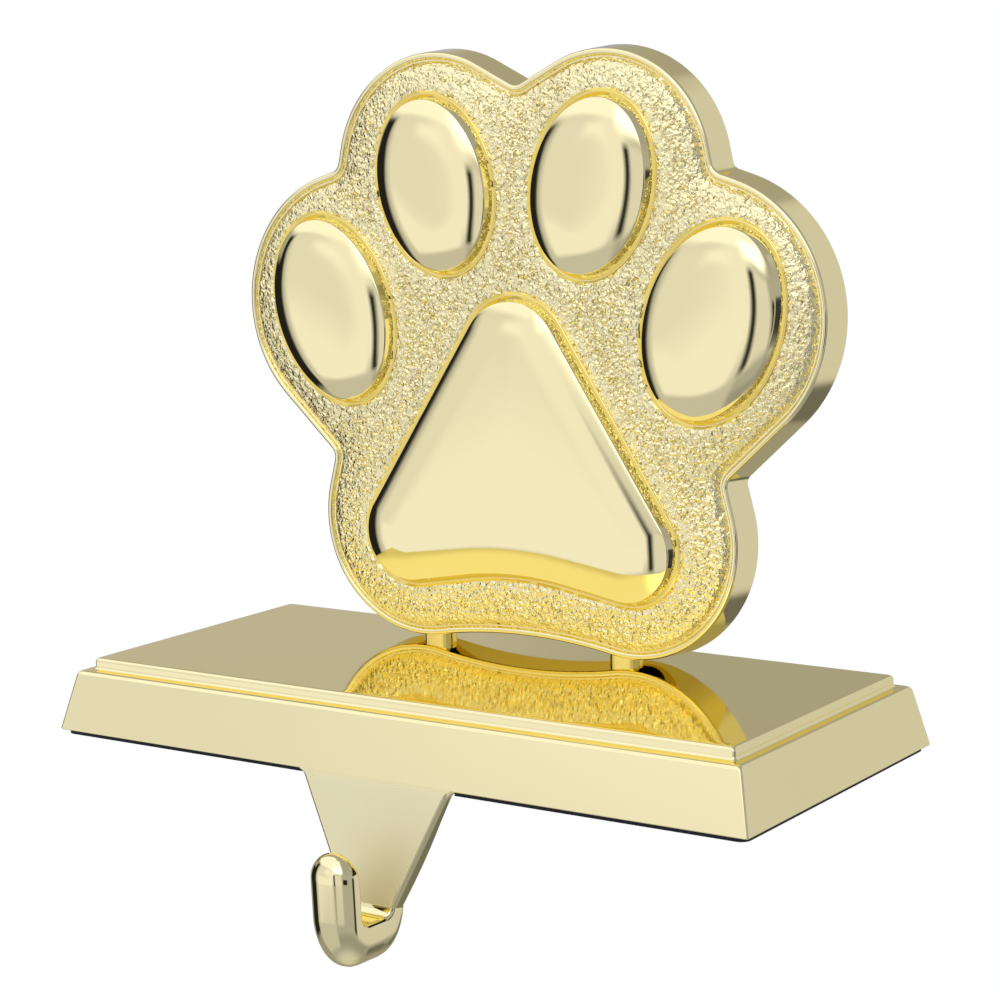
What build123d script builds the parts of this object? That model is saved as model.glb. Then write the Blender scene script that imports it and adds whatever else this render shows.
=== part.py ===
"""Mantel stocking holder: a weighted cast base with a hook, and a paw plaque standing on it.

Millimetres, +Z up. The origin is on the mantel surface under the middle of the base,
+X is to the right seen from the room, and +Y points at the wall.
"""

import os
from math import atan, cos, degrees, radians, sin, sqrt

from build123d import *

# Base tray
base_width = 125.0
base_depth = 59.5
skirt_height = 9.5
skirt_flare = 2.25
ledge_width = 2.0
step_height = 1.9
side_wall = 2.8
top_wall = 3.0
top_edge_radius = 0.7
ledge_edge_radius = 1.0
step_cove_radius = 0.6

# Anti-slip mat glued under the rim of the tray
mat_thickness = 0.7
mat_inset = 0.8
mat_corner_radius = 1.5
mat_tongue_clearance = 0.5

# Tongue that hangs over the front of the mantel, thin at its top and thick at its foot
tongue_top_width = 27.0
tongue_foot_width = 9.2
tongue_top_thickness = 1.8
tongue_foot_thickness = 4.0
tongue_length = 18.5
tongue_lean = 6.5
tongue_edge_radius = 0.5
strip_edge_bevel = 0.4

# Hook that turns up in front of the tongue
hook_width = 8.0
hook_gap = 6.4
hook_corner_radius = 1.5
hook_bend_thickness = 6.9
hook_lip_thickness = 3.9
hook_lip_height = 9.7
hook_lip_lean = 3.0
hook_round = 2.6
back_squareness = 3.0
front_squareness = 2.0
tip_set_back = 0.3
corner_steps = 3
tip_angles = (0, 35, 62, 82)

# Paw plaque, measured up from its lowest points
plaque_back = 17.4
plaque_gap = 0.3
plaque_thickness = 6.0
wall_flare = 0.6
bead_width = 1.7
bead_crest = 0.8
bead_rise = 0.5
groove_depth = 0.35
field_rise = 2.2
field_reach = 7.5
field_steps = 2
heel_radius = 19.5
heel_spread = 19.8
outer_toe_radius = 22.0
outer_toe_spread = 32.2
outer_toe_rise = 54.6
inner_toe_radius = 19.5
inner_toe_spread = 15.6
inner_toe_rise = 75.8
bottom_hollow_radius = 91.0
notch_radius = 1.5
heel_notch_to_heel = 0.4
heel_notch_to_toe = 3.1
side_notch_to_toes = 0.15
top_notch_to_toes = 1.1
shortest_flank = 0.001

# Polished pads raised on the plaque
pad_wall_rise = 1.45
pad_wall_run = 1.45
pad_crown_rise = 0.8
pad_crown_reach = 5.0
inner_pad_length = 29.2
inner_pad_width = 21.8
inner_pad_inward = 1.1
inner_pad_drop = 1.85
inner_pad_tilt = 15.0
outer_pad_length = 32.0
outer_pad_width = 23.2
outer_pad_outward = 3.0
outer_pad_drop = 0.95
outer_pad_tilt = 21.0
heel_pad_top_radius = 10.0
heel_pad_top_rise = 46.95
heel_pad_lobe_radius = 8.8
heel_pad_lobe_outward = 0.6
heel_pad_lobe_drop = 1.55
heel_pad_hollow_rise = 11.75
heel_pad_hollow_radius = 55.0

# Two studs under the plaque, with a washer and a nut each
foot_width = 5.8
foot_depth = 3.6
foot_set_back = 1.8
foot_sink = 2.5
stud_inward = 2.0
stud_diameter = 3.0
stud_clearance = 0.4
stud_tail = 1.0
washer_diameter = 7.0
washer_thickness = 0.5
nut_across_flats = 5.5
nut_thickness = 2.4

# Heights and planes that the sizes above give
skirt_bottom = mat_thickness
ledge_height = skirt_bottom + skirt_height
base_top = ledge_height + step_height
cavity_roof = base_top - top_wall
skirt_draft = degrees(atan(skirt_flare / skirt_height))
front_face = -base_depth / 2
plaque_bottom = base_top + plaque_gap
foot_middle = plaque_back - foot_set_back - foot_depth / 2
field_edge = wall_flare + bead_width
field_top = plaque_thickness + field_rise
wall_height = plaque_thickness - bead_rise
wall_draft = degrees(atan(wall_flare / wall_height))
lean = radians(tongue_lean)

plaque_plane = Plane(origin=(0, plaque_back, plaque_bottom), x_dir=(1, 0, 0), z_dir=(0, -1, 0))
field_plane = plaque_plane.offset(field_top)
stud_spread = heel_spread - stud_inward
stud_places = [(-stud_spread, foot_middle), (stud_spread, foot_middle)]


# Anti-slip mat: one die-cut sheet, notched at the front to clear the tongue
with BuildPart() as anti_slip_mat:
    with BuildSketch():
        RectangleRounded(base_width - 2 * mat_inset, base_depth - 2 * mat_inset, mat_corner_radius)
        with Locations((0, front_face)):
            notch_width = tongue_top_width + 2 * mat_tongue_clearance
            notch_depth = tongue_top_thickness / cos(lean) + mat_tongue_clearance
            Rectangle(notch_width, 2 * notch_depth, mode=Mode.SUBTRACT)
    extrude(amount=mat_thickness)


# Tongue and hook: one strip of sections, down the tongue, round the bend and up the lip
down = Vector(0, -sin(lean), -cos(lean))
tongue_top = Vector(0, front_face, skirt_bottom)
tongue_foot = tongue_top + down * tongue_length
corner_turn = (180 - tongue_lean - hook_lip_lean) / 2


def bend_outward(turn):
    """Direction out of the bend after it has turned by this many degrees."""
    angle = radians(-tongue_lean - turn)
    return Vector(0, cos(angle), sin(angle))


def strip_section(inner_point, outward, width, thickness, outer_radius):
    """A section whose flat side lies on the face that looks into the hook."""
    plane = Plane(origin=inner_point, x_dir=(1, 0, 0), z_dir=(0, -outward.Z, outward.Y))
    inner_bevel = min(strip_edge_bevel, (thickness - outer_radius) / 2)
    with BuildSketch(plane) as section:
        Rectangle(width, thickness, align=(Align.CENTER, Align.MIN))
        chamfer(section.vertices().group_by(Axis.Y)[0], inner_bevel)
        fillet(section.vertices().group_by(Axis.Y)[-1], outer_radius)
    return section.sketch


def tongue_section(share):
    """A section of the tongue after this share of its length."""
    width = tongue_top_width + (tongue_foot_width - tongue_top_width) * share
    thickness = tongue_top_thickness + (tongue_foot_thickness - tongue_top_thickness) * share
    inner_point = tongue_top + down * tongue_length * share
    return strip_section(inner_point, bend_outward(0), width, thickness, tongue_edge_radius)


def corner_thickness(share, start, end, squareness):
    """Thickness after this share of a corner; a higher squareness fills the corner out."""
    angle = radians(90 * share)
    start_part = (cos(angle) / (hook_corner_radius + start)) ** squareness
    end_part = (sin(angle) / (hook_corner_radius + end)) ** squareness
    return (start_part + end_part) ** (-1 / squareness) - hook_corner_radius


# The bend has two corners with a short floor between them, and is thickest at the floor
back_corner = tongue_foot - bend_outward(0) * hook_corner_radius
floor_outward = bend_outward(corner_turn)
floor_ahead = Vector(0, floor_outward.Z, -floor_outward.Y)
front_corner = back_corner + floor_ahead * (hook_gap - 2 * hook_corner_radius)
bend_corners = [
    (back_corner, tongue_foot_thickness, hook_bend_thickness, back_squareness),
    (front_corner, hook_bend_thickness, hook_lip_thickness, front_squareness),
]

# The strip starts a little above the underside of the skirt and is cut off level with it
strip_sections = [tongue_section(-tongue_top_thickness / tongue_length)]
for number, (centre, *thickness_change) in enumerate(bend_corners):
    for step in range(corner_steps + 1):
        share = step / corner_steps
        narrowing = min(1, number + share)
        outward = bend_outward(corner_turn * (number + share))
        thickness = corner_thickness(share, *thickness_change)
        width = tongue_foot_width + (hook_width - tongue_foot_width) * narrowing
        outer_radius = tongue_edge_radius + (hook_round - tongue_edge_radius) * narrowing
        inner_point = centre + outward * hook_corner_radius
        strip_sections.append(strip_section(inner_point, outward, width, thickness, outer_radius))

# The lip closes in to a rounded tip, half as high as the hook is wide
lip_outward = bend_outward(2 * corner_turn)
lip_up = Vector(0, lip_outward.Z, -lip_outward.Y)
lip_foot = front_corner + lip_outward * hook_corner_radius
tip_radius = hook_width / 2
for tip_angle in tip_angles:
    shrink = cos(radians(tip_angle))
    rise = hook_lip_height - tip_radius + tip_radius * sin(radians(tip_angle))
    thickness = hook_lip_thickness * shrink
    inner_point = lip_foot + lip_up * rise + lip_outward * (hook_lip_thickness - thickness) * tip_set_back
    strip_sections.append(
        strip_section(inner_point, lip_outward, hook_width * shrink, thickness, hook_round * shrink)
    )

with BuildPart() as hook_strip:
    loft(strip_sections, ruled=True)
    split(bisect_by=Plane.XY.offset(skirt_bottom), keep=Keep.BOTTOM)


# Base: a hollow flared tray with a stepped top, cast in one with its tongue and hook
with BuildPart() as base_with_hook:
    with BuildSketch(Plane.XY.offset(skirt_bottom)):
        Rectangle(base_width, base_depth)
    extrude(amount=skirt_height, taper=skirt_draft)
    fillet(base_with_hook.faces().sort_by(Axis.Z)[-1].edges(), ledge_edge_radius)
    with BuildSketch(Plane.XY.offset(ledge_height)):
        step_inset = skirt_flare + ledge_width
        Rectangle(base_width - 2 * step_inset, base_depth - 2 * step_inset)
    extrude(amount=step_height)
    fillet(base_with_hook.edges(Select.LAST).group_by(Axis.Z)[0], step_cove_radius)
    fillet(base_with_hook.faces().sort_by(Axis.Z)[-1].edges(), top_edge_radius)
    with BuildSketch(Plane.XY.offset(skirt_bottom)):
        Rectangle(base_width - 2 * side_wall, base_depth - 2 * side_wall)
    extrude(amount=cavity_roof - skirt_bottom, taper=skirt_draft, mode=Mode.SUBTRACT)
    with Locations(*[(x, y, base_top) for x, y in stud_places]):
        Hole((stud_diameter + stud_clearance) / 2)
    add(hook_strip.part)


# Outline of the paw: round lobes and tight notches, each a circle, joined by straight flanks
heel_centre = Vector(heel_spread, heel_radius)
outer_toe_centre = Vector(outer_toe_spread, outer_toe_rise)
inner_toe_centre = Vector(inner_toe_spread, inner_toe_rise)
heel_reach = heel_radius + notch_radius
outer_toe_reach = outer_toe_radius + notch_radius
inner_toe_reach = inner_toe_radius + notch_radius


def notch_between(centre, distance, next_centre, next_distance):
    """The point outside the paw at these distances from the centres of two lobes."""
    apart = next_centre - centre
    along = apart.normalized()
    outside = Vector(along.Y, -along.X)
    reach = (apart.length**2 + distance**2 - next_distance**2) / (2 * apart.length)
    return centre + along * reach + outside * sqrt(distance**2 - reach**2)


heel_notch_centre = notch_between(
    heel_centre,
    heel_reach + heel_notch_to_heel,
    outer_toe_centre,
    outer_toe_reach + heel_notch_to_toe,
)
side_notch_centre = notch_between(
    outer_toe_centre,
    outer_toe_reach + side_notch_to_toes,
    inner_toe_centre,
    inner_toe_reach + side_notch_to_toes,
)
top_notch_lift = sqrt((inner_toe_reach + top_notch_to_toes) ** 2 - inner_toe_spread**2)
bottom_hollow_drop = sqrt((heel_radius + bottom_hollow_radius) ** 2 - heel_spread**2)

# The circles of the right half, from the bottom to the top; hollows have a negative radius
paw_circles = [
    (Vector(0, heel_radius - bottom_hollow_drop), -bottom_hollow_radius),
    (heel_centre, heel_radius),
    (heel_notch_centre, -notch_radius),
    (outer_toe_centre, outer_toe_radius),
    (side_notch_centre, -notch_radius),
    (inner_toe_centre, inner_toe_radius),
    (Vector(0, inner_toe_rise + top_notch_lift), -notch_radius),
]


def arc_about(centre, start, end):
    """The shorter arc between two points that lie on one circle."""
    outwards = ((start + end) / 2 - centre).normalized()
    return ThreePointArc(start, centre + outwards * (start - centre).length, end)


def circle_outline(inset, half_circles):
    """The face inside a chain of circles and its mirror image, drawn in evenly by this much."""
    circles = [(centre, radius - inset) for centre, radius in half_circles]
    with BuildSketch() as outline:
        with BuildLine():
            first_centre, first_radius = circles[0]
            arc_start = first_centre - Vector(0, first_radius)
            for (centre, radius), (next_centre, next_radius) in zip(circles, circles[1:]):
                along = (next_centre - centre).normalized()
                across = Vector(along.Y, -along.X)
                lift = (radius - next_radius) / (next_centre - centre).length
                lift = min(1, max(-1, lift))
                normal = along * lift + across * sqrt(1 - lift**2)
                flank_start = centre + normal * radius
                flank_end = next_centre + normal * next_radius
                arc_about(centre, arc_start, flank_start)
                arc_start = flank_start
                if (flank_end - flank_start).length > shortest_flank:
                    Line(flank_start, flank_end)
                    arc_start = flank_end
            last_centre, last_radius = circles[-1]
            arc_about(last_centre, arc_start, last_centre + Vector(0, last_radius))
            mirror(about=Plane.YZ)
        make_face()
    return outline.sketch


# Polished pads: the heel's is a rounded triangle with a hollow lower edge, the toes' are ovals
heel_pad_lobe = Vector(heel_spread + heel_pad_lobe_outward, heel_radius - heel_pad_lobe_drop)
heel_pad_circles = [
    (Vector(0, heel_pad_hollow_rise - heel_pad_hollow_radius), -heel_pad_hollow_radius),
    (heel_pad_lobe, heel_pad_lobe_radius),
    (Vector(0, heel_pad_top_rise), heel_pad_top_radius),
]


def toe_pad_outline(inset, side, spread, rise, length, width, tilt):
    """An oval that leans outwards at its top."""
    with BuildSketch() as outline:
        with Locations((side * spread, rise)):
            Ellipse(width / 2 - inset, length / 2 - inset, rotation=-side * tilt)
    return outline.sketch


def raised_pad(outline_at, *sizes):
    """A pad: an upright foot in the domed field, a sloping wall and a flatter crown."""
    sections = [
        (0, -field_rise),
        (0, 0),
        (pad_wall_run, pad_wall_rise),
        (pad_wall_run + pad_crown_reach, pad_wall_rise + pad_crown_rise),
    ]
    with BuildPart() as pad:
        for inset, height in sections:
            with BuildSketch(field_plane.offset(height)):
                add(outline_at(inset, *sizes))
        loft(ruled=True)
    return pad.part


inner_pad_spread = inner_toe_spread - inner_pad_inward
inner_pad_rise = inner_toe_rise - inner_pad_drop
outer_pad_spread = outer_toe_spread + outer_pad_outward
outer_pad_rise = outer_toe_rise - outer_pad_drop
inner_sizes = (inner_pad_spread, inner_pad_rise, inner_pad_length, inner_pad_width, inner_pad_tilt)
outer_sizes = (outer_pad_spread, outer_pad_rise, outer_pad_length, outer_pad_width, outer_pad_tilt)
raised_pads = [raised_pad(circle_outline, heel_pad_circles)]
for side in (-1, 1):
    raised_pads.append(raised_pad(toe_pad_outline, side, *inner_sizes))
    raised_pads.append(raised_pad(toe_pad_outline, side, *outer_sizes))


# Plaque: drafted wall, raised bead, groove and domed field, with five pads and two studded feet
face_sections = [
    (wall_flare, wall_height),
    (wall_flare + bead_crest, plaque_thickness),
]
for step in range(field_steps + 1):
    share = step / field_steps
    swell = (groove_depth + field_rise) * (1 - (1 - share) ** 2)
    face_sections.append((field_edge + field_reach * share, plaque_thickness - groove_depth + swell))

with BuildPart() as paw_plaque:
    with BuildSketch(plaque_plane):
        add(circle_outline(0, paw_circles))
    extrude(amount=wall_height, taper=wall_draft)
    for inset, height in face_sections:
        with BuildSketch(plaque_plane.offset(height)):
            add(circle_outline(inset, paw_circles))
    loft(ruled=True)
    add(raised_pads)
    with BuildSketch(Plane.XY.offset(base_top)):
        with Locations(*stud_places):
            SlotOverall(foot_width, foot_depth)
    extrude(amount=plaque_gap + foot_sink)
    with BuildSketch(Plane.XY.offset(base_top)):
        with Locations(*stud_places):
            Circle(stud_diameter / 2)
    extrude(amount=-(top_wall + washer_thickness + nut_thickness + stud_tail))


# Washers and nuts that draw the studs down from inside the tray
with BuildPart() as fixing_washers:
    with BuildSketch(Plane.XY.offset(cavity_roof)):
        with Locations(*stud_places):
            Circle(washer_diameter / 2)
            Circle((stud_diameter + stud_clearance) / 2, mode=Mode.SUBTRACT)
    extrude(amount=-washer_thickness)

with BuildPart() as fixing_nuts:
    with BuildSketch(Plane.XY.offset(cavity_roof - washer_thickness)):
        with Locations(*stud_places):
            RegularPolygon(nut_across_flats / 2, 6, major_radius=False)
            Circle(stud_diameter / 2, mode=Mode.SUBTRACT)
    extrude(amount=-nut_thickness)


os.makedirs("parts", exist_ok=True)
pieces = {
    "anti_slip_mat": anti_slip_mat,
    "base_with_hook": base_with_hook,
    "paw_plaque": paw_plaque,
    "fixing_washers": fixing_washers,
    "fixing_nuts": fixing_nuts,
}
for name, piece in pieces.items():
    piece.part.label = name
    export_step(piece.part, f"parts/{name}.step")
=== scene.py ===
import math

import bmesh
import bpy
import numpy as np
from mathutils import Matrix, Vector, kdtree
from mathutils.geometry import delaunay_2d_cdt


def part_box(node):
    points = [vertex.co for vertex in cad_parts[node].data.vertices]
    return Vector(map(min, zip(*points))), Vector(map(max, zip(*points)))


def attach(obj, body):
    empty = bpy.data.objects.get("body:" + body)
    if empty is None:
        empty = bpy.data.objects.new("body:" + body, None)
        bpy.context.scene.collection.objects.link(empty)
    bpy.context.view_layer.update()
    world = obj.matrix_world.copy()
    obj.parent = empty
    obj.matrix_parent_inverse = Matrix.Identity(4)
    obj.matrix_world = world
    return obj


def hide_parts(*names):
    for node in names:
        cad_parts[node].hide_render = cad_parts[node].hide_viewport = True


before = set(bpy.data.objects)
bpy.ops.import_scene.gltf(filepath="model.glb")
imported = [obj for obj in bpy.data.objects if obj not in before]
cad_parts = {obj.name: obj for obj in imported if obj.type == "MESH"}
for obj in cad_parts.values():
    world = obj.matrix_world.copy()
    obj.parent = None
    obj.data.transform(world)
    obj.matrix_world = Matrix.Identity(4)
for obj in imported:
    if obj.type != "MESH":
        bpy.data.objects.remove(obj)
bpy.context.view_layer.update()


# Base tray: one hollow zinc casting with a flared skirt, a ledge and a raised top plate.
# It is plated pale gold and polished to a mirror, and the tongue and hook below are cast with it.
mm = 0.001
mat_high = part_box("anti_slip_mat")[1]
tray_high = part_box("base_with_hook")[1]
tray_half_width = tray_high.x
tray_half_depth = tray_high.y
tray_foot = mat_high.z
tray_top = tray_high.z
step_height = 1.9 * mm
ledge_level = tray_top - step_height
skirt_flare = 2.25 * mm
ledge_width = 2.0 * mm
wall_width = 2.8 * mm
roof_thickness = 3.0 * mm
roof_level = tray_top - roof_thickness
skirt_slope = skirt_flare / (ledge_level - tray_foot)
plate_border = 2.0 * mm
plate_edge_radius = 0.7 * mm
step_foot_radius = 0.6 * mm
ledge_edge_radius = 1.0 * mm
skirt_foot_radius = 0.2 * mm
roof_corner_radius = 0.8 * mm
roof_border = 3.0 * mm
tray_corner_radius = 0.5 * mm
tray_corner_steps = 6
profile_steps = 6


def rounded_profile(corners):
    """A line through these corners, each (inset, level, radius), with every radius as an arc."""
    points = [Vector(corner[:2]) for corner in corners]
    line = [points[0]]
    for place in range(1, len(points) - 1):
        radius = corners[place][2]
        back = (points[place - 1] - points[place]).normalized()
        ahead = (points[place + 1] - points[place]).normalized()
        turn = math.pi - back.angle(ahead)
        reach = radius * math.tan(turn / 2)
        centre = points[place] + (back + ahead).normalized() * radius / math.cos(turn / 2)
        first = points[place] + back * reach - centre
        last = points[place] + ahead * reach - centre
        for step in range(profile_steps + 1):
            share = step / profile_steps
            blend = first * math.sin((1 - share) * turn) + last * math.sin(share * turn)
            line.append(centre + blend / math.sin(turn))
    line.append(points[-1])
    return line


def tray_ring(inset, level):
    """A rounded rectangle of points round the tray, drawn in from its foot."""
    ring = []
    for quarter, (side_x, side_y) in enumerate(((1, 1), (-1, 1), (-1, -1), (1, -1))):
        corner_x = side_x * (tray_half_width - inset - tray_corner_radius)
        corner_y = side_y * (tray_half_depth - inset - tray_corner_radius)
        for step in range(tray_corner_steps + 1):
            angle = (quarter + step / tray_corner_steps) * math.pi / 2
            x = corner_x + tray_corner_radius * math.cos(angle)
            y = corner_y + tray_corner_radius * math.sin(angle)
            ring.append((x, y, level))
    return ring


def rings_mesh(name, rings, close_start=True, close_end=True):
    """A mesh of the wall that joins rings of equally many points, closed at its ends if wanted."""
    count = len(rings[0])
    faces = []
    for level in range(len(rings) - 1):
        here = level * count
        for point in range(count):
            beside = (point + 1) % count
            faces.append((here + point, here + count + point, here + count + beside, here + beside))
    if close_start:
        faces.append(tuple(range(count)))
    if close_end:
        faces.append(tuple(reversed(range((len(rings) - 1) * count, len(rings) * count))))
    mesh = bpy.data.meshes.new(name)
    mesh.from_pydata([tuple(point) for ring in rings for point in ring], [], faces)
    return mesh


def shown_object(name, mesh):
    """An object for the mesh, at the origin, with its faces turned outwards."""
    work = bmesh.new()
    work.from_mesh(mesh)
    bmesh.ops.recalc_face_normals(work, faces=work.faces)
    work.to_mesh(mesh)
    work.free()
    piece = bpy.data.objects.new(name, mesh)
    bpy.context.scene.collection.objects.link(piece)
    return piece


def settle(piece):
    """Makes a piece's modifiers part of its mesh."""
    graph = bpy.context.evaluated_depsgraph_get()
    mesh = bpy.data.meshes.new_from_object(piece.evaluated_get(graph))
    piece.modifiers.clear()
    piece.data = mesh


def cast_together(piece, other, operation):
    """Joins another solid to a piece, or cuts it out of the piece, and drops the other."""
    tool = piece.modifiers.new(operation, "BOOLEAN")
    tool.operation = operation
    tool.solver = "EXACT"
    tool.object = other
    settle(piece)
    bpy.data.objects.remove(other)


step_inset = skirt_flare + ledge_width
roof_inset = wall_width + (roof_level - tray_foot) * skirt_slope
tray_profile = rounded_profile([
    (step_inset + plate_border, tray_top, 0),
    (step_inset, tray_top, plate_edge_radius),
    (step_inset, ledge_level, step_foot_radius),
    (skirt_flare, ledge_level, ledge_edge_radius),
    (0, tray_foot, skirt_foot_radius),
    (wall_width, tray_foot, skirt_foot_radius),
    (roof_inset, roof_level, roof_corner_radius),
    (roof_inset + roof_border, roof_level, 0),
])
tray_rings = [tray_ring(inset, level) for inset, level in tray_profile]
tray = shown_object("tray_with_hook", rings_mesh("tray_with_hook", tray_rings))

# Tongue and hook: a strip that leaves the skirt's foot, hangs in front of the mantel's edge,
# grows thicker as it narrows, and turns up into a round-ended lip for the stocking's loop.
tongue_top_width = 27.0 * mm
tongue_foot_width = 9.2 * mm
tongue_top_thickness = 1.8 * mm
tongue_foot_thickness = 4.0 * mm
tongue_length = 18.5 * mm
tongue_lean = math.radians(6.5)
tongue_corner_fillet = 0.9 * mm
tongue_steps = 16
tongue_step_power = 1.5
blend_overlap = 0.5 * mm
blend_leave = 2.0 * mm
blend_arrive = 14.5 * mm
buried_height = 1.0 * mm
buried_set_back = 0.3 * mm
rounding_start = 0.4
strip_edge_radius = 0.5 * mm
tongue_front_radius = 0.8 * mm
foot_round = 2.0 * mm
strip_corner_steps = 8
hook_width = 8.0 * mm
hook_gap = 6.4 * mm
hook_corner_radius = 1.5 * mm
hook_bend_thickness = 6.85 * mm
hook_lip_thickness = 3.85 * mm
hook_lip_height = 9.7 * mm
hook_lip_lean = math.radians(3.0)
hook_round = 3.8 * mm
hook_fullness = 0.72
back_squareness = 3.0
front_squareness = 2.0
corner_steps = 16
tip_steps = 14
tip_set_back = 0.3
tip_turn = math.radians(87)
tip_edge_share = 0.25

tongue_down = Vector((0, -math.sin(tongue_lean), -math.cos(tongue_lean)))
tongue_top = Vector((0, -tray_half_depth, tray_foot))
tongue_foot = tongue_top + tongue_down * tongue_length
skirt_down = Vector((0, -skirt_slope, -1)).normalized()


def strip_ring(inner_point, outward, width, thickness, inner_radius, outer_span, outer_depth):
    """A section of the strip: small arcs on the side that looks into the hook, ovals on the other."""
    ring = []
    corners = (
        (1, thickness - outer_depth, outer_span, outer_depth),
        (-1, thickness - outer_depth, outer_span, outer_depth),
        (-1, inner_radius, inner_radius, inner_radius),
        (1, inner_radius, inner_radius, inner_radius),
    )
    for quarter, (side, depth, span, rise) in enumerate(corners):
        for step in range(strip_corner_steps + 1):
            angle = (quarter + step / strip_corner_steps) * math.pi / 2
            along = side * (width / 2 - span) + span * math.cos(angle)
            ring.append(inner_point + outward * (depth + rise * math.sin(angle)) + Vector((along, 0, 0)))
    return ring


def bend_outward(angle):
    """Direction out of the bend after it has turned by this angle from the tongue."""
    return Vector((0, math.cos(-tongue_lean - angle), math.sin(-tongue_lean - angle)))


# The strip starts inside the skirt's wall, comes out flush with the skirt and bends softly
# to the tongue's own slope.
blend_start = tongue_top - skirt_down * blend_overlap
blend_points = (
    blend_start,
    blend_start + skirt_down * blend_leave,
    tongue_foot - tongue_down * blend_arrive,
    tongue_foot,
)
strip_rings = []
buried = blend_start - skirt_down * buried_height + Vector((0, buried_set_back, 0))
strip_rings.append(
    strip_ring(
        buried,
        bend_outward(0),
        tongue_top_width,
        tongue_top_thickness - buried_set_back,
        strip_edge_radius,
        strip_edge_radius,
        strip_edge_radius,
    )
)
for step in range(tongue_steps):
    share = (step / tongue_steps) ** tongue_step_power
    rest = 1 - share
    start, leave, arrive, end = blend_points
    place = start * rest**3 + leave * 3 * rest**2 * share + arrive * 3 * rest * share**2 + end * share**3
    heading = (leave - start) * rest**2 + (arrive - leave) * 2 * rest * share + (end - arrive) * share**2
    heading.normalize()
    outward = Vector((0, -heading.z, heading.y))
    depth_below = max(0, tray_foot - place.z)
    fillet_left = max(0, tongue_corner_fillet - depth_below)
    fillet = tongue_corner_fillet - math.sqrt(tongue_corner_fillet**2 - fillet_left**2)
    run = (place - tongue_top).dot(tongue_down) / tongue_length
    width = tongue_top_width + (tongue_foot_width - tongue_top_width) * run + 2 * fillet
    thickness = tongue_top_thickness + (tongue_foot_thickness - tongue_top_thickness) * max(0, run)
    rounding = min(1, max(0, (run - rounding_start) / (1 - rounding_start)))
    back_radius = strip_edge_radius + (foot_round - strip_edge_radius) * rounding**2
    strip_rings.append(
        strip_ring(place, outward, width, thickness, tongue_front_radius, back_radius, back_radius)
    )

corner_turn = (math.pi - tongue_lean - hook_lip_lean) / 2
back_corner = tongue_foot - bend_outward(0) * hook_corner_radius
floor_outward = bend_outward(corner_turn)
floor_ahead = Vector((0, floor_outward.z, -floor_outward.y))
front_corner = back_corner + floor_ahead * (hook_gap - 2 * hook_corner_radius)
bend_corners = (
    (back_corner, tongue_foot_thickness, hook_bend_thickness, back_squareness),
    (front_corner, hook_bend_thickness, hook_lip_thickness, front_squareness),
)
for number, (centre, start, end, squareness) in enumerate(bend_corners):
    for step in range(corner_steps + 1):
        share = step / corner_steps
        outward = bend_outward(corner_turn * (number + share))
        start_part = (math.cos(share * math.pi / 2) / (hook_corner_radius + start)) ** squareness
        end_part = (math.sin(share * math.pi / 2) / (hook_corner_radius + end)) ** squareness
        thickness = (start_part + end_part) ** (-1 / squareness) - hook_corner_radius
        narrowing = min(1, number + share)
        narrowing = narrowing * narrowing * (3 - 2 * narrowing)
        width = tongue_foot_width + (hook_width - tongue_foot_width) * narrowing
        outer_span = foot_round + (hook_round - foot_round) * narrowing
        outer_depth = foot_round + (hook_fullness * thickness - foot_round) * narrowing
        inner_point = centre + outward * hook_corner_radius
        strip_rings.append(
            strip_ring(inner_point, outward, width, thickness, tongue_front_radius, outer_span, outer_depth)
        )

lip_outward = bend_outward(2 * corner_turn)
lip_up = Vector((0, lip_outward.z, -lip_outward.y))
lip_foot = front_corner + lip_outward * hook_corner_radius
tip_radius = hook_width / 2
for step in range(tip_steps + 1):
    angle = tip_turn * step / tip_steps
    shrink = math.cos(angle)
    rise = hook_lip_height - tip_radius + tip_radius * math.sin(angle)
    thickness = hook_lip_thickness * shrink
    inner_point = lip_foot + lip_up * rise + lip_outward * (hook_lip_thickness - thickness) * tip_set_back
    strip_rings.append(
        strip_ring(
            inner_point,
            lip_outward,
            hook_width * shrink,
            thickness,
            min(tongue_front_radius, tip_edge_share * thickness),
            hook_round * shrink,
            hook_fullness * thickness,
        )
    )

hook_strip = shown_object("hook_strip", rings_mesh("hook_strip", strip_rings))
cast_together(tray, hook_strip, "UNION")

# Holes in the top plate for the plaque's two studs
stud_place_x = 17.8 * mm
stud_place_y = 13.8 * mm
stud_radius = 1.5 * mm
hole_radius = 1.7 * mm
drill_low = roof_level - mm
drill_high = tray_top + mm


def round_rod(name, x, y, radius, low, high, count=32):
    """A closed upright rod."""
    rings = []
    for level in (high, low):
        ring = []
        for point in range(count):
            angle = 2 * math.pi * point / count
            ring.append((x + radius * math.cos(angle), y + radius * math.sin(angle), level))
        rings.append(ring)
    return shown_object(name, rings_mesh(name, rings))


for side in (-1, 1):
    drill = round_rod("drill", side * stud_place_x, stud_place_y, hole_radius, drill_low, drill_high)
    cast_together(tray, drill, "DIFFERENCE")


def polish(piece, sharp_angle):
    """Smooth shading with crisp edges, where flat faces keep their own flat normals."""
    piece.data.shade_smooth()
    piece.data.set_sharp_from_angle(angle=sharp_angle)
    weigh = piece.modifiers.new("weigh", "WEIGHTED_NORMAL")
    weigh.keep_sharp = True
    settle(piece)


polish(tray, sharp_angle=math.radians(35))

# Gold plating: a faint unevenness of tint, haze and level that hand polishing leaves
gold_pale = (0.92, 0.8, 0.34, 1)
gold_deep = (0.9, 0.77, 0.31, 1)


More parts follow.
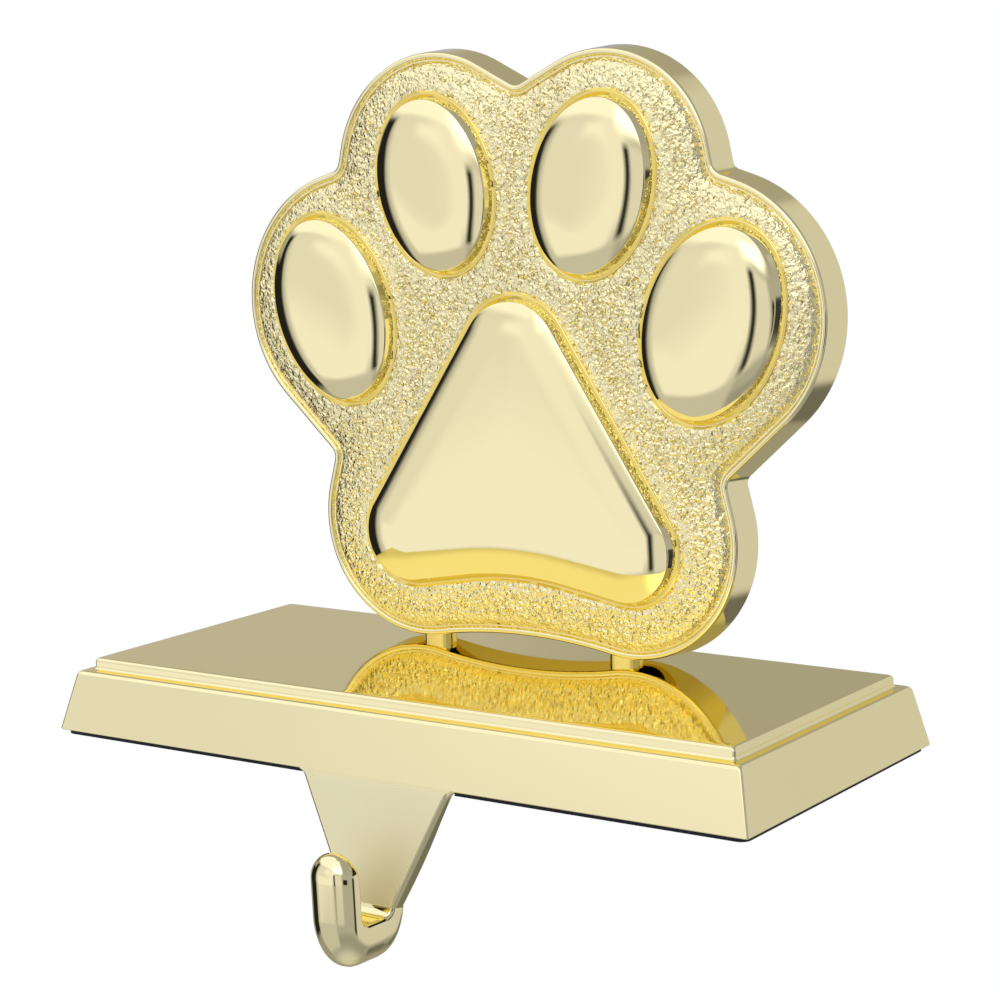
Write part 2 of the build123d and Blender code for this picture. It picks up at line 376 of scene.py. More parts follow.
def plating_marks():
    """A group of faint polishing marks: tint mask, roughness and waviness, all by place."""
    group = bpy.data.node_groups.new("plating_marks", "ShaderNodeTree")
    for socket, default in (("Haze Size", 60), ("Wave Size", 45), ("Least Haze", 0.05), ("Most Haze", 0.1)):
        made = group.interface.new_socket(socket, in_out="INPUT", socket_type="NodeSocketFloat")
        made.default_value = default
    for socket in ("Tint", "Roughness", "Height"):
        group.interface.new_socket(socket, in_out="OUTPUT", socket_type="NodeSocketFloat")
    entry = group.nodes.new("NodeGroupInput")
    leave = group.nodes.new("NodeGroupOutput")
    place = group.nodes.new("ShaderNodeTexCoord")
    haze = group.nodes.new("ShaderNodeTexNoise")
    haze.inputs["Detail"].default_value = 4
    wave = group.nodes.new("ShaderNodeTexNoise")
    wave.inputs["Detail"].default_value = 1
    spread = group.nodes.new("ShaderNodeMapRange")
    link = group.links.new
    link(place.outputs["Object"], haze.inputs["Vector"])
    link(place.outputs["Object"], wave.inputs["Vector"])
    link(entry.outputs["Haze Size"], haze.inputs["Scale"])
    link(entry.outputs["Wave Size"], wave.inputs["Scale"])
    link(haze.outputs["Fac"], spread.inputs["Value"])
    spread.inputs["From Min"].default_value = 0.3
    spread.inputs["From Max"].default_value = 0.7
    link(entry.outputs["Least Haze"], spread.inputs["To Min"])
    link(entry.outputs["Most Haze"], spread.inputs["To Max"])
    link(wave.outputs["Fac"], leave.inputs["Tint"])
    link(spread.outputs["Result"], leave.inputs["Roughness"])
    link(wave.outputs["Fac"], leave.inputs["Height"])
    return group


marks_group = plating_marks()


def plated_gold(name, least_haze, most_haze, wave_size, wave_depth, pale=gold_pale, deep=gold_deep):
    """Gold plate over the casting, from mirror bright to satin."""
    material = bpy.data.materials.new(name)
    material.use_nodes = True
    nodes = material.node_tree.nodes
    link = material.node_tree.links.new
    shader = nodes["Principled BSDF"]
    shader.inputs["Metallic"].default_value = 1
    shader.inputs["Specular Tint"].default_value = (1, 0.92, 0.62, 1)
    marks = nodes.new("ShaderNodeGroup")
    marks.node_tree = marks_group
    marks.inputs["Haze Size"].default_value = 60
    marks.inputs["Wave Size"].default_value = wave_size
    marks.inputs["Least Haze"].default_value = least_haze
    marks.inputs["Most Haze"].default_value = most_haze
    tint = nodes.new("ShaderNodeMix")
    tint.data_type = "RGBA"
    tint.inputs["A"].default_value = pale
    tint.inputs["B"].default_value = deep
    link(marks.outputs["Tint"], tint.inputs["Factor"])
    link(tint.outputs["Result"], shader.inputs["Base Color"])
    link(marks.outputs["Roughness"], shader.inputs["Roughness"])
    bump = nodes.new("ShaderNodeBump")
    bump.inputs["Strength"].default_value = 1
    bump.inputs["Distance"].default_value = wave_depth
    link(marks.outputs["Height"], bump.inputs["Height"])
    link(bump.outputs["Normal"], shader.inputs["Normal"])
    return material


mirror_gold = plated_gold(
    "mirror_gold", least_haze=0.03, most_haze=0.07, wave_size=45, wave_depth=0.02 * mm
)
tray.data.materials.append(mirror_gold)

# The tongue's front is satin, so it shows no sharp image of the hook's lip
satin_gold = plated_gold(
    "satin_gold",
    least_haze=0.66,
    most_haze=0.72,
    wave_size=45,
    wave_depth=0.01 * mm,
    pale=(0.95, 0.87, 0.46, 1),
    deep=(0.94, 0.85, 0.43, 1),
)
satin_top = tray_foot - 0.3 * mm
satin_front = tongue_foot.y - mm
satin_facing = -0.97
tray.data.materials.append(satin_gold)
for face in tray.data.polygons:
    on_tongue = tongue_foot.z < face.center.z < satin_top
    faces_room = face.normal.y < satin_facing and face.center.y > satin_front
    face.material_index = 1 if on_tongue and faces_room else 0
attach(tray, "root")
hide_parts("base_with_hook")


# Paw plaque: one zinc casting plated like the base, with a drafted wall, a raised bead round its
# edge, a domed field tooled with short grains, and five raised pads polished bright.
# It stands on two short feet, and a stud under each foot goes down through the top plate.
plaque_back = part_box("paw_plaque")[1].y
plaque_gap = 0.3 * mm
plaque_foot = tray_top + plaque_gap
heel_radius = 19.5 * mm
heel_centre = Vector((19.8 * mm, heel_radius))
outer_toe_radius = 22.0 * mm
outer_toe_centre = Vector((32.2 * mm, 54.6 * mm))
inner_toe_radius = 19.5 * mm
inner_toe_centre = Vector((15.6 * mm, 75.8 * mm))
bottom_hollow_radius = 91.0 * mm
notch_radius = 1.5 * mm
heel_notch_gap = 0.4 * mm
heel_notch_toe_gap = 3.1 * mm
side_notch_gap = 0.15 * mm
top_notch_gap = 1.1 * mm
outline_step = 0.6 * mm
least_point_gap = 0.02 * mm
most_point_gap = 1.5 * outline_step
least_arc_steps = 8


def notch_between(centre, distance, next_centre, next_distance):
    """The point outside the paw at these distances from the centres of two lobes."""
    apart = next_centre - centre
    along = apart.normalized()
    outside = Vector((along.y, -along.x))
    reach = (apart.length**2 + distance**2 - next_distance**2) / (2 * apart.length)
    return centre + along * reach + outside * math.sqrt(distance**2 - reach**2)


def circle_chain(circles):
    """Points and outward normals round a chain of tangent circles and its mirror image.
    Moving each point against its normal draws the outline in evenly."""
    turns = [math.radians(-90)]
    for (centre, radius), (next_centre, next_radius) in zip(circles, circles[1:]):
        along = (next_centre - centre).normalized()
        lift = (radius - next_radius) / (next_centre - centre).length
        lift = min(1, max(-1, lift))
        normal = along * lift + Vector((along.y, -along.x)) * math.sqrt(1 - lift**2)
        turns.append(math.atan2(normal.y, normal.x))
    turns.append(math.radians(90))
    half = []
    for (centre, radius), start, end in zip(circles, turns, turns[1:]):
        turn = (end - start + math.pi) % (2 * math.pi) - math.pi
        steps = max(least_arc_steps, math.ceil(abs(turn * radius) / outline_step))
        for step in range(steps + 1):
            angle = start + turn * step / steps
            normal = np.array((math.cos(angle), math.sin(angle)))
            half.append((np.array(centre) + normal * radius, normal))
    line = []
    for point, normal in half:
        if line and np.linalg.norm(point - line[-1][0]) > most_point_gap:
            last_point, last_normal = line[-1]
            steps = math.ceil(np.linalg.norm(point - last_point) / outline_step)
            for step in range(1, steps):
                line.append((last_point + (point - last_point) * step / steps, last_normal))
        if not line or np.linalg.norm(point - line[-1][0]) > least_point_gap:
            line.append((point, normal))
    mirrored = [(point * (-1, 1), normal * (-1, 1)) for point, normal in reversed(line[1:-1])]
    points, normals = zip(*(line + mirrored))
    return np.array(points), np.array(normals)


heel_notch = notch_between(
    heel_centre,
    heel_radius + notch_radius + heel_notch_gap,
    outer_toe_centre,
    outer_toe_radius + notch_radius + heel_notch_toe_gap,
)
side_notch = notch_between(
    outer_toe_centre,
    outer_toe_radius + notch_radius + side_notch_gap,
    inner_toe_centre,
    inner_toe_radius + notch_radius + side_notch_gap,
)
top_notch_reach = inner_toe_radius + notch_radius + top_notch_gap
top_notch_lift = math.sqrt(top_notch_reach**2 - inner_toe_centre.x**2)
bottom_hollow_drop = math.sqrt((heel_radius + bottom_hollow_radius) ** 2 - heel_centre.x**2)
paw_points, paw_normals = circle_chain([
    (Vector((0, heel_radius - bottom_hollow_drop)), -bottom_hollow_radius),
    (heel_centre, heel_radius),
    (heel_notch, -notch_radius),
    (outer_toe_centre, outer_toe_radius),
    (side_notch, -notch_radius),
    (inner_toe_centre, inner_toe_radius),
    (Vector((0, inner_toe_centre.y + top_notch_lift)), -notch_radius),
])


def plaque_ring(outline, heights):
    """An outline drawn on the plaque's face, this high above its back."""
    heights = np.broadcast_to(heights, len(outline))
    return [(x, plaque_back - height, plaque_foot + rise) for (x, rise), height in zip(outline, heights)]


plaque_thickness = 6.0 * mm
wall_flare = 0.6 * mm
back_border = 3.0 * mm
back_edge_radius = 0.2 * mm
bead_outer_radius = 0.55 * mm
bead_top_end = 1.4 * mm
bead_inner_radius = 0.4 * mm
groove_start = 1.7 * mm
groove_radius = 0.12 * mm
groove_level = 5.4 * mm
bead_edge = 1.95 * mm
rim_profile = rounded_profile([
    (back_border, 0, 0),
    (0, 0, back_edge_radius),
    (wall_flare, plaque_thickness, bead_outer_radius),
    (bead_top_end, plaque_thickness, bead_inner_radius),
    (groove_start, groove_level, groove_radius),
    (bead_edge, groove_level, 0),
])
body_rings = [plaque_ring(paw_points - inset * paw_normals, height) for inset, height in rim_profile]
plaque = shown_object("paw_casting", rings_mesh("paw_casting", body_rings))

# Feet and studs are part of the casting
foot_half_width = 2.9 * mm
foot_half_depth = 1.8 * mm
foot_rise = 1.4 * mm
foot_top = plaque_foot + foot_rise
foot_end_steps = 12
stud_reach = 3.9 * mm
stud_end = roof_level - stud_reach
for side in (-1, 1):
    foot_rings = []
    for level in (foot_top, tray_top):
        ring = []
        for end in (1, -1):
            for step in range(foot_end_steps + 1):
                angle = math.pi * (step / foot_end_steps - 0.5) + (math.pi if end < 0 else 0)
                middle = side * stud_place_x + end * (foot_half_width - foot_half_depth)
                x = middle + foot_half_depth * math.cos(angle)
                ring.append((x, stud_place_y + foot_half_depth * math.sin(angle), level))
        foot_rings.append(ring)
    foot = shown_object("foot", rings_mesh("foot", foot_rings))
    stud = round_rod("stud", side * stud_place_x, stud_place_y, stud_radius, stud_end, tray_top + mm)
    cast_together(foot, stud, "UNION")
    cast_together(plaque, foot, "UNION")

# Field: it rises from the groove inside the bead over a round shoulder and swells to a level top
field_shoulder_rise = 0.8 * mm
field_shoulder_reach = 1.2 * mm
field_swell_rise = 1.4 * mm
field_swell_reach = 8.0 * mm
field_top = groove_level + field_shoulder_rise + field_swell_rise
moat_dip = 0.25 * mm
moat_reach = 0.6 * mm
field_edge = paw_points - bead_edge * paw_normals


def outline_gap(points, outline):
    """Distance from each point to a closed outline."""
    nearest = np.full(len(points), np.inf)
    for start, end in zip(outline, np.roll(outline, -1, axis=0)):
        along = end - start
        share = np.clip((points - start) @ along / (along @ along), 0, 1)
        apart = points - start - share[:, None] * along
        nearest = np.minimum(nearest, np.hypot(apart[:, 0], apart[:, 1]))
    return nearest


def field_swell(points):
    """Height of the field above the plaque's back at these points, without its dips at the pads."""
    gap = outline_gap(points, field_edge)
    shoulder = 1 - (1 - np.clip(gap / field_shoulder_reach, 0, 1)) ** 2
    swell = 1 - (1 - np.clip(gap / field_swell_reach, 0, 1)) ** 2
    return groove_level + field_shoulder_rise * shoulder + field_swell_rise * swell


# Pads: the heel's is a rounded triangle with a hollow lower edge, and the toes' are ovals.
# Each has a domed top and a steep wall that stands in a narrow moat, all polished.
pad_seat = 2.6 * mm
moat_width = 0.45 * mm
moat_depth = 0.8 * mm
moat_foot_radius = 0.12 * mm
pad_wall_inset = 0.95 * mm
pad_wall_rise = 1.15 * mm
pad_edge_radius = 0.55 * mm
pad_crown_reach = 7.8 * mm
pad_crown_rise = 1.2 * mm
pad_crown_steps = 9
crown_power = 2.3
crown_end_slope = 0.03
crown_set_in = 0.6 * mm
dome_steps = 5
crown_start = pad_wall_inset + crown_set_in
crown_line = []
for step in range(pad_crown_steps + 1):
    inset = crown_start + (pad_crown_reach - crown_start) * step / pad_crown_steps
    left = (pad_crown_reach - inset) / (pad_crown_reach - pad_wall_inset)
    rise = pad_crown_rise * (1 - left**crown_power) + crown_end_slope * (inset - pad_wall_inset)
    crown_line.append(Vector((inset, pad_wall_rise + rise)))
pad_profile = rounded_profile([
    (-moat_width, -moat_dip, 0),
    (0, -moat_depth, moat_foot_radius),
    (pad_wall_inset, pad_wall_rise, pad_edge_radius),
    (*crown_line[0], 0),
])
pad_profile = pad_profile[:-1] + crown_line
heel_pad_hollow_radius = 55.0 * mm
heel_pad_hollow_rise = 11.75 * mm
heel_pad_corner_radius = 8.8 * mm
heel_pad_corner_shift = Vector((0.6 * mm, -1.55 * mm))
heel_pad_tip_radius = 10.0 * mm
heel_pad_tip_rise = 46.95 * mm
heel_pad_points, heel_pad_normals = circle_chain([
    (Vector((0, heel_pad_hollow_rise - heel_pad_hollow_radius)), -heel_pad_hollow_radius),
    (heel_centre + heel_pad_corner_shift, heel_pad_corner_radius),
    (Vector((0, heel_pad_tip_rise)), heel_pad_tip_radius),
])
# Each toe's pad: its middle, its length and width, and how far it leans outwards
toe_pads = (
    (inner_toe_centre + Vector((-1.1 * mm, -1.85 * mm)), 29.2 * mm, 21.8 * mm, math.radians(15)),
    (outer_toe_centre + Vector((3.0 * mm, -0.95 * mm)), 32.0 * mm, 23.2 * mm, math.radians(21)),
)
oval_count = 168


def oval(side, centre, length, width, tilt, inset):
    """An oval that leans outwards at its top."""
    outline = []
    for point in range(oval_count):
        angle = 2 * math.pi * point / oval_count
        across = (width / 2 - inset) * math.cos(angle)
        along = (length / 2 - inset) * math.sin(angle)
        x = side * (centre.x + across * math.cos(tilt) + along * math.sin(tilt))
        outline.append((x, centre.y - across * math.sin(tilt) + along * math.cos(tilt)))
    return np.array(outline)


def pad_rings(outline_at):
    """Rings of a pad, whose foot follows the field and whose crown is level."""
    drop = field_top - field_swell(outline_at(-moat_width))
    rings = []
    for inset, rise in pad_profile:
        seat = 1 - min(1, max(0, inset) / pad_seat)
        heights = field_top + rise - drop * seat * seat * (3 - 2 * seat)
        rings.append(plaque_ring(outline_at(inset), heights))
    last_inset, last_rise = pad_profile[-1]
    rim = outline_at(last_inset)
    middle = rim.mean(axis=0)
    dome_rise = crown_end_slope * np.linalg.norm(rim - middle, axis=1).mean() / 2
    for step in range(1, dome_steps + 1):
        share = 1 - step / (dome_steps + 0.5)
        level = field_top + last_rise + dome_rise * (1 - share**2)
        rings.append(plaque_ring(middle + (rim - middle) * share, level))
    return rings


pad_outlines = [lambda inset: heel_pad_points - inset * heel_pad_normals]
for side in (-1, 1):
    for sizes in toe_pads:
        pad_outlines.append(lambda inset, side=side, sizes=sizes: oval(side, *sizes, inset))
pad_feet = [outline_at(-moat_width) for outline_at in pad_outlines]


def field_level(points):
    """Height of the field above the plaque's back at these points."""
    gap = np.min([outline_gap(points, foot) for foot in pad_feet], axis=0)
    return field_swell(points) - moat_dip * (1 - np.clip(gap / moat_reach, 0, 1)) ** 2


pad_meshes = [rings_mesh("pad", pad_rings(outline_at), close_start=False) for outline_at in pad_outlines]

# The field's sheet is fine enough for its grain to be real relief
grain_pitch = 0.24 * mm
grain_clear = 0.16 * mm
grain_fade = 0.25 * mm
grain_jitter = 0.2
grain_seed = 7
borders = [field_edge] + pad_feet


def inside(points, outline):
    """Which points lie inside a closed outline."""
    within = np.zeros(len(points), bool)
    for (x0, y0), (x1, y1) in zip(outline, np.roll(outline, -1, axis=0)):
        crosses = (points[:, 1] < y0) != (points[:, 1] < y1)
        if y0 != y1:
            within ^= crosses & (points[:, 0] < (x1 - x0) * (points[:, 1] - y0) / (y1 - y0) + x0)
    return within


def on_field(points):
    """Which points lie inside the bead and outside every pad."""
    wanted = inside(points, borders[0])
    for outline in borders[1:]:
        wanted &= ~inside(points, outline)
    return wanted


border_points = np.concatenate(borders)
border_tree = kdtree.KDTree(len(border_points))
for number, (x, rise) in enumerate(border_points):
    border_tree.insert((x, rise, 0), number)
border_tree.balance()

jitter = np.random.default_rng(grain_seed)
low_corner = field_edge.min(axis=0)
high_corner = field_edge.max(axis=0)
grid_x, grid_y = np.meshgrid(
    np.arange(low_corner[0], high_corner[0], grain_pitch),
    np.arange(low_corner[1], high_corner[1], grain_pitch),
)
grid = np.column_stack((grid_x.ravel(), grid_y.ravel()))
grid += jitter.uniform(-grain_jitter, grain_jitter, grid.shape) * grain_pitch
grid = grid[on_field(grid)]
clear = [border_tree.find((x, y, 0))[2] > grain_clear for x, y in grid]
grid = grid[clear]

border_edges = []
first = 0
for outline in borders:
    count = len(outline)
    border_edges += [(first + point, first + (point + 1) % count) for point in range(count)]
    first += count
field_points = np.concatenate((border_points, grid))
field_vectors = [Vector(point) for point in field_points]
sheet = delaunay_2d_cdt(field_vectors, border_edges, [], 0, 1e-9)
made_points = np.array([tuple(point) for point in sheet[0]])
made_faces = np.array(sheet[2])
middles = made_points[made_faces].mean(axis=1)
made_faces = made_faces[on_field(middles)]

nearest = [border_tree.find((x, y, 0)) for x, y in made_points]
edge_gap = np.array([found[2] for found in nearest])
edge_run = np.array([found[1] for found in nearest]) * outline_step
field_corners = plaque_ring(made_points, field_level(made_points))
field_mesh = bpy.data.meshes.new("field")
field_mesh.from_pydata(field_corners, [], [tuple(int(i) for i in face) for face in made_faces])
for name, values in (("edge_gap", edge_gap), ("edge_run", edge_run)):
    marked = field_mesh.attributes.new(name, "FLOAT", "POINT")
    marked.data.foreach_set("value", values.astype(np.float32))
field = bpy.data.objects.new("field", field_mesh)
bpy.context.scene.collection.objects.link(field)


def grain_tree():
    """Strikes short grains into the field: lined up across the nearest edge, and loose further in."""
    tree = bpy.data.node_groups.new("tooled_grain", "GeometryNodeTree")
    tree.interface.new_socket("Geometry", in_out="INPUT", socket_type="NodeSocketGeometry")
    for socket in ("Grain Width", "Grain Length", "Grain Depth", "Edge Reach"):
        tree.interface.new_socket(socket, in_out="INPUT", socket_type="NodeSocketFloat")
    tree.interface.new_socket("Material", in_out="INPUT", socket_type="NodeSocketMaterial")
    tree.interface.new_socket("Geometry", in_out="OUTPUT", socket_type="NodeSocketGeometry")
    nodes = tree.nodes
    link = tree.links.new
    entry = nodes.new("NodeGroupInput")
    leave = nodes.new("NodeGroupOutput")

    def math_node(operation, first_value, second_value):
        node = nodes.new("ShaderNodeMath")
        node.operation = operation
        for socket, value in zip(node.inputs, (first_value, second_value)):
            if isinstance(value, (int, float)):
                socket.default_value = value
            else:
                link(value, socket)
        return node.outputs[0]

    def attribute(name):
        node = nodes.new("GeometryNodeInputNamedAttribute")
        node.data_type = "FLOAT"
        node.inputs["Name"].default_value = name
        return node.outputs["Attribute"]

    def noise(vector, detail):
        node = nodes.new("ShaderNodeTexNoise")
        node.inputs["Scale"].default_value = 1
        node.inputs["Detail"].default_value = detail
        node.inputs["Roughness"].default_value = 0.6
        node.inputs["Distortion"].default_value = 1.2
        link(vector, node.inputs["Vector"])
        return node.outputs["Fac"]

    gap = attribute("edge_gap")
    run = attribute("edge_run")
    lined = nodes.new("ShaderNodeCombineXYZ")
    link(math_node("DIVIDE", run, entry.outputs["Grain Width"]), lined.inputs["X"])
    link(math_node("DIVIDE", gap, entry.outputs["Grain Length"]), lined.inputs["Y"])
    place = nodes.new("GeometryNodeInputPosition")
    loose = nodes.new("ShaderNodeVectorMath")
    loose.operation = "SCALE"
    link(place.outputs["Position"], loose.inputs["Vector"])
    link(math_node("DIVIDE", 0.8, entry.outputs["Grain Width"]), loose.inputs["Scale"])
    near = nodes.new("ShaderNodeMapRange")
    near.interpolation_type = "SMOOTHSTEP"
    near.inputs["To Min"].default_value = 1
    near.inputs["To Max"].default_value = 0
    link(gap, near.inputs["Value"])
    link(entry.outputs["Edge Reach"], near.inputs["From Max"])
    chosen = nodes.new("ShaderNodeMix")
    link(near.outputs["Result"], chosen.inputs["Factor"])
    link(noise(loose.outputs["Vector"], 1), chosen.inputs["A"])
    link(noise(lined.outputs["Vector"], 1), chosen.inputs["B"])
    fade = nodes.new("ShaderNodeMapRange")
    fade.inputs["From Max"].default_value = grain_fade
    link(gap, fade.inputs["Value"])
    struck = nodes.new("ShaderNodeMapRange")
    struck.interpolation_type = "SMOOTHSTEP"
    struck.inputs["From Min"].default_value = 0.3
    struck.inputs["From Max"].default_value = 0.7
    struck.inputs["To Min"].default_value = -1
    struck.inputs["To Max"].default_value = 0
    link(chosen.outputs["Result"], struck.inputs["Value"])
    rise = math_node("MULTIPLY", struck.outputs["Result"], entry.outputs["Grain Depth"])
    rise = math_node("MULTIPLY", rise, fade.outputs["Result"])
    offset = nodes.new("ShaderNodeCombineXYZ")
    link(math_node("MULTIPLY", rise, -1), offset.inputs["Y"])
    shift = nodes.new("GeometryNodeSetPosition")
    link(entry.outputs["Geometry"], shift.inputs["Geometry"])
    link(offset.outputs["Vector"], shift.inputs["Offset"])
    whole = nodes.new("GeometryNodeRealizeInstances")
    link(shift.outputs["Geometry"], whole.inputs["Geometry"])
    finish = nodes.new("GeometryNodeSetMaterial")
    link(whole.outputs["Geometry"], finish.inputs["Geometry"])
    link(entry.outputs["Material"], finish.inputs["Material"])
    link(finish.outputs["Geometry"], leave.inputs["Geometry"])
    return tree


grained_gold = plated_gold(
    "grained_gold", least_haze=0.14, most_haze=0.2, wave_size=2200, wave_depth=0.2 * mm
)
tooled = field.modifiers.new("tooled_grain", "NODES")
tooled.node_group = grain_tree()
grain_sizes = {
    "Grain Width": 0.46 * mm,
    "Grain Length": 1.3 * mm,
    "Grain Depth": 0.3 * mm,
    "Edge Reach": 3.0 * mm,
    "Material": grained_gold,
}
for item in tooled.node_group.interface.items_tree:
    if item.in_out == "INPUT" and item.name in grain_sizes:
        tooled[item.identifier] = grain_sizes[item.name]
settle(field)

# One closed casting: the sheet that shut the body in front gives way to the field and the pads
level_gap = 1e-6
weld_gap = 1e-7
plaque_work = bmesh.new()
plaque_work.from_mesh(plaque.data)
front_level = plaque_back - groove_level
plaque_work.faces.remove(
    max(
        (face for face in plaque_work.faces if abs(face.calc_center_median().y - front_level) < level_gap),
        key=lambda face: face.calc_area(),
    )
)
for mesh in pad_meshes:
    plaque_work.from_mesh(mesh)
for face in plaque_work.faces:
    face.material_index = 0
polished_count = len(plaque_work.faces)
plaque_work.from_mesh(field.data)
plaque_work.faces.ensure_lookup_table()
for face in plaque_work.faces[polished_count:]:
    face.material_index = 1
bmesh.ops.remove_doubles(plaque_work, verts=plaque_work.verts, dist=weld_gap)
bmesh.ops.recalc_face_normals(plaque_work, faces=plaque_work.faces)
plaque_mesh = bpy.data.meshes.new("paw_casting")
plaque_work.to_mesh(plaque_mesh)
plaque_work.free()
bpy.data.objects.remove(field)
plaque.data = plaque_mesh
plaque_mesh.materials.append(mirror_gold)
plaque_mesh.materials.append(grained_gold)
polish(plaque, sharp_angle=math.radians(32))
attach(plaque, "root")
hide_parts("paw_plaque")


# Washers and nuts: zinc plated steel, drawn up on the plaque's studs inside the tray.
# They hold the plaque down and are covered by the mat.
zinc = bpy.data.materials.new("zinc_plate")
zinc.use_nodes = True
zinc_shader = zinc.node_tree.nodes["Principled BSDF"]
zinc_shader.inputs["Metallic"].default_value = 1
zinc_marks = zinc.node_tree.nodes.new("ShaderNodeGroup")
zinc_marks.node_tree = marks_group
zinc_marks.inputs["Haze Size"].default_value = 900
zinc_marks.inputs["Least Haze"].default_value = 0.25
zinc_marks.inputs["Most Haze"].default_value = 0.42
zinc_tint = zinc.node_tree.nodes.new("ShaderNodeMix")
zinc_tint.data_type = "RGBA"
zinc_tint.inputs["A"].default_value = (0.62, 0.62, 0.63, 1)
zinc_tint.inputs["B"].default_value = (0.55, 0.55, 0.53, 1)
zinc.node_tree.links.new(zinc_marks.outputs["Tint"], zinc_tint.inputs["Factor"])
zinc.node_tree.links.new(zinc_tint.outputs["Result"], zinc_shader.inputs["Base Color"])
zinc.node_tree.links.new(zinc_marks.outputs["Roughness"], zinc_shader.inputs["Roughness"])
for name in ("fixing_washers", "fixing_nuts"):
    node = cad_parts[name]
    node.data.materials.clear()
    node.data.materials.append(zinc)


# Anti-slip mat: one die-cut sheet of black foam rubber, glued under the rim of the tray.
# It is cut back at the front so that the tongue can hang past it.
foam = bpy.data.materials.new("black_foam")
foam.use_nodes = True
foam_nodes = foam.node_tree.nodes
foam_link = foam.node_tree.links.new
foam_shader = foam_nodes["Principled BSDF"]
foam_shader.inputs["Roughness"].default_value = 0.9
foam_shader.inputs["Specular IOR Level"].default_value = 0.25
foam_place = foam_nodes.new("ShaderNodeTexCoord")
foam_cells = foam_nodes.new("ShaderNodeTexVoronoi")
foam_cells.inputs["Scale"].default_value = 1800
foam_shade = foam_nodes.new("ShaderNodeValToRGB")
foam_shade.color_ramp.elements[0].color = (0.006, 0.0057, 0.004, 1)
foam_shade.color_ramp.elements[1].color = (0.034, 0.032, 0.022, 1)
foam_bump = foam_nodes.new("ShaderNodeBump")
foam_bump.inputs["Distance"].default_value = 0.1 * mm
foam_link(foam_place.outputs["Object"], foam_cells.inputs["Vector"])
foam_link(foam_cells.outputs["Distance"], foam_shade.inputs["Fac"])
foam_link(foam_shade.outputs["Color"], foam_shader.inputs["Base Color"])
foam_link(foam_cells.outputs["Distance"], foam_bump.inputs["Height"])
foam_link(foam_bump.outputs["Normal"], foam_shader.inputs["Normal"])
mat_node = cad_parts["anti_slip_mat"]
mat_node.data.materials.clear()
mat_node.data.materials.append(foam)


# Studio: a white cove with its floor round the object, and a light tent inside it, which has
# brighter and darker patches for the polished gold to reflect. Only the cove is seen directly.
cove_radius = 6.0
cove_sides = 64
cove_rings = 32
floor_level = -0.25


def glow(name, colour, strength):
    """A plain emitting material."""
    material = bpy.data.materials.new(name)
    material.use_nodes = True
    nodes = material.node_tree.nodes
    nodes.clear()
    light = nodes.new("ShaderNodeEmission")
    light.inputs["Color"].default_value = (*colour, 1)
    light.inputs["Strength"].default_value = strength
    leave = nodes.new("ShaderNodeOutputMaterial")
    material.node_tree.links.new(light.outputs["Emission"], leave.inputs["Surface"])
    return material


def stage_piece(name, mesh, in_view):
    """A piece of the studio, seen either by the camera or in reflections."""
    piece = bpy.data.objects.new(name, mesh)
    bpy.context.scene.collection.objects.link(piece)
    piece.visible_camera = in_view
    piece.visible_glossy = not in_view
    piece.visible_diffuse = False
    piece.visible_shadow = False


cove = bmesh.new()
bmesh.ops.create_uvsphere(cove, u_segments=cove_sides, v_segments=cove_rings, radius=cove_radius)
for corner in cove.verts:
    corner.co.z = max(corner.co.z, floor_level)
cove_mesh = bpy.data.meshes.new("cove")
cove.to_mesh(cove_mesh)
cove.free()
cove_mesh.materials.append(glow("white_paper", (1, 1, 1), 1.0))
stage_piece("cove", cove_mesh, True)

# The tent's patches, each with the bearing and height of its middle, half its width and height,
# the width of its soft edge, all in degrees, and its brightness. Later ones lie over earlier ones.
tent_radius = 2.5
tent_step = 2
tent_level = 0.5
tent_patches = (
    (0, -50, 180, 32, 16, 0.42),
    (-20, -84, 180, 22, 30, 0.8),
    (60, -8, 60, 28, 10, 0.55),
    (-36, -36, 34, 18, 10, 0.72),
    (-36, 2, 27, 22, 12, 1.0),
    (-12, 4, 14, 22, 18, 1.15),
    (16, -6, 14, 18, 8, 0.95),
    (-34, -13, 24, 9, 3, 1.17),
    (-28, 13, 8, 5, 10, 1.24),
    (142, 4, 34, 36, 8, 0.82),
    (-30, 52, 70, 28, 10, 1.35),
    (14, 32, 20, 14, 14, 2.2),
    (-130, 20, 17, 15, 8, 0.64),
    (168, -34, 12, 9, 6, 0.2),
    (98, -14, 8, 17, 4, 0.05),
    (-86, -12, 18, 18, 4, 0.02),
    (-76, 10, 8, 11, 4, 0.02),
    (46, -9, 11, 9, 4, 0.02),
    (-1, -6, 3, 16, 3, 0.03),
)
studio_light = (0.84, 0.882, 1.32)


def soft_step(values):
    """Zero below 0, one above 1, with a smooth rise between."""
    share = np.clip(values, 0, 1)
    return share * share * (3 - 2 * share)


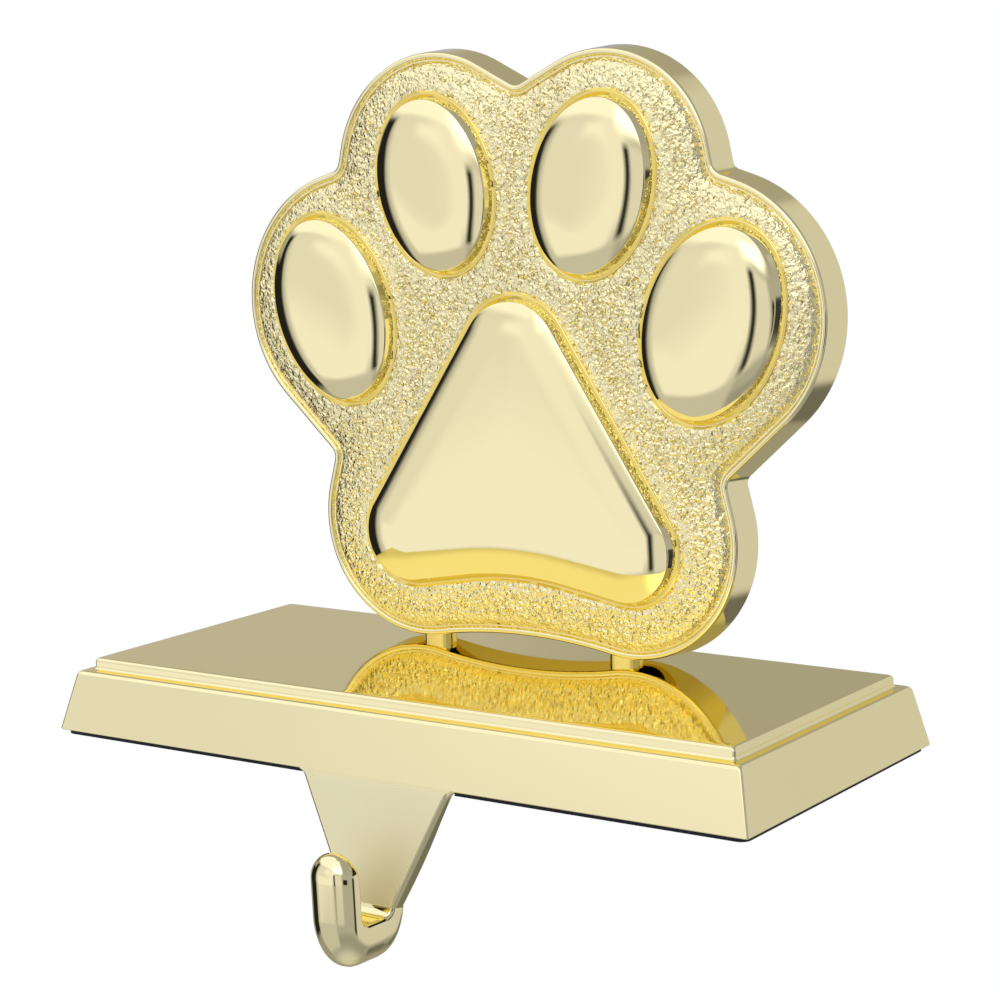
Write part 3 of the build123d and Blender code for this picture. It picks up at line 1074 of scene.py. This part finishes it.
tent_azimuths = np.radians(np.arange(-180, 180, tent_step))
tent_elevations = np.radians(np.arange(-90, 90 + tent_step, tent_step))
azimuth, elevation = np.meshgrid(tent_azimuths, tent_elevations)
tent_rings = tent_radius * np.stack(
    (
        np.sin(azimuth) * np.cos(elevation),
        -np.cos(azimuth) * np.cos(elevation),
        np.sin(elevation),
    ),
    axis=-1,
)
tent_glow = np.full(azimuth.shape, tent_level)
for bearing, height, half_width, half_height, soft_edge, strength in tent_patches:
    across = np.abs((np.degrees(azimuth) - bearing + 180) % 360 - 180)
    upwards = np.abs(np.degrees(elevation) - height)
    mask = soft_step((half_width - across) / soft_edge + 0.5)
    mask = mask * soft_step((half_height - upwards) / soft_edge + 0.5)
    tent_glow += (strength - tent_glow) * mask
tent_mesh = rings_mesh("tent", tent_rings, close_start=False, close_end=False)
tent_marks = tent_mesh.attributes.new("glow", "FLOAT", "POINT")
tent_marks.data.foreach_set("value", tent_glow.ravel().astype(np.float32))
tent_cloth = glow("tent_cloth", studio_light, 1.0)
tent_nodes = tent_cloth.node_tree.nodes
tent_brightness = tent_nodes.new("ShaderNodeAttribute")
tent_brightness.attribute_name = "glow"
tent_cloth.node_tree.links.new(tent_brightness.outputs["Fac"], tent_nodes["Emission"].inputs["Strength"])
tent_mesh.materials.append(tent_cloth)
stage_piece("tent", tent_mesh, False)

# A weak even light for the matt mat and the tray's inside
world_level = 0.6
world = bpy.data.worlds.new("studio")
world.use_nodes = True
world.node_tree.nodes["Background"].inputs["Color"].default_value = (*studio_light, 1)
world.node_tree.nodes["Background"].inputs["Strength"].default_value = world_level
bpy.context.scene.world = world
bpy.context.scene.view_settings.view_transform = "Standard"

# The camera of the photograph, fitted to the corners of the base
camera_data = bpy.data.cameras.new("camera")
camera_data.lens = 93.6
camera_data.sensor_width = 36
camera = bpy.data.objects.new("camera", camera_data)
camera.location = (0.222785, -0.329601, 0.10147)
camera_right = Vector((0.83407, 0.55139, -0.01741))
camera_up = Vector((-0.07213, 0.14029, 0.98748))
camera_back = camera_right.cross(camera_up)
camera.rotation_euler = Matrix((camera_right, camera_up, camera_back)).transposed().to_euler()
bpy.context.scene.collection.objects.link(camera)
bpy.context.scene.camera = camera
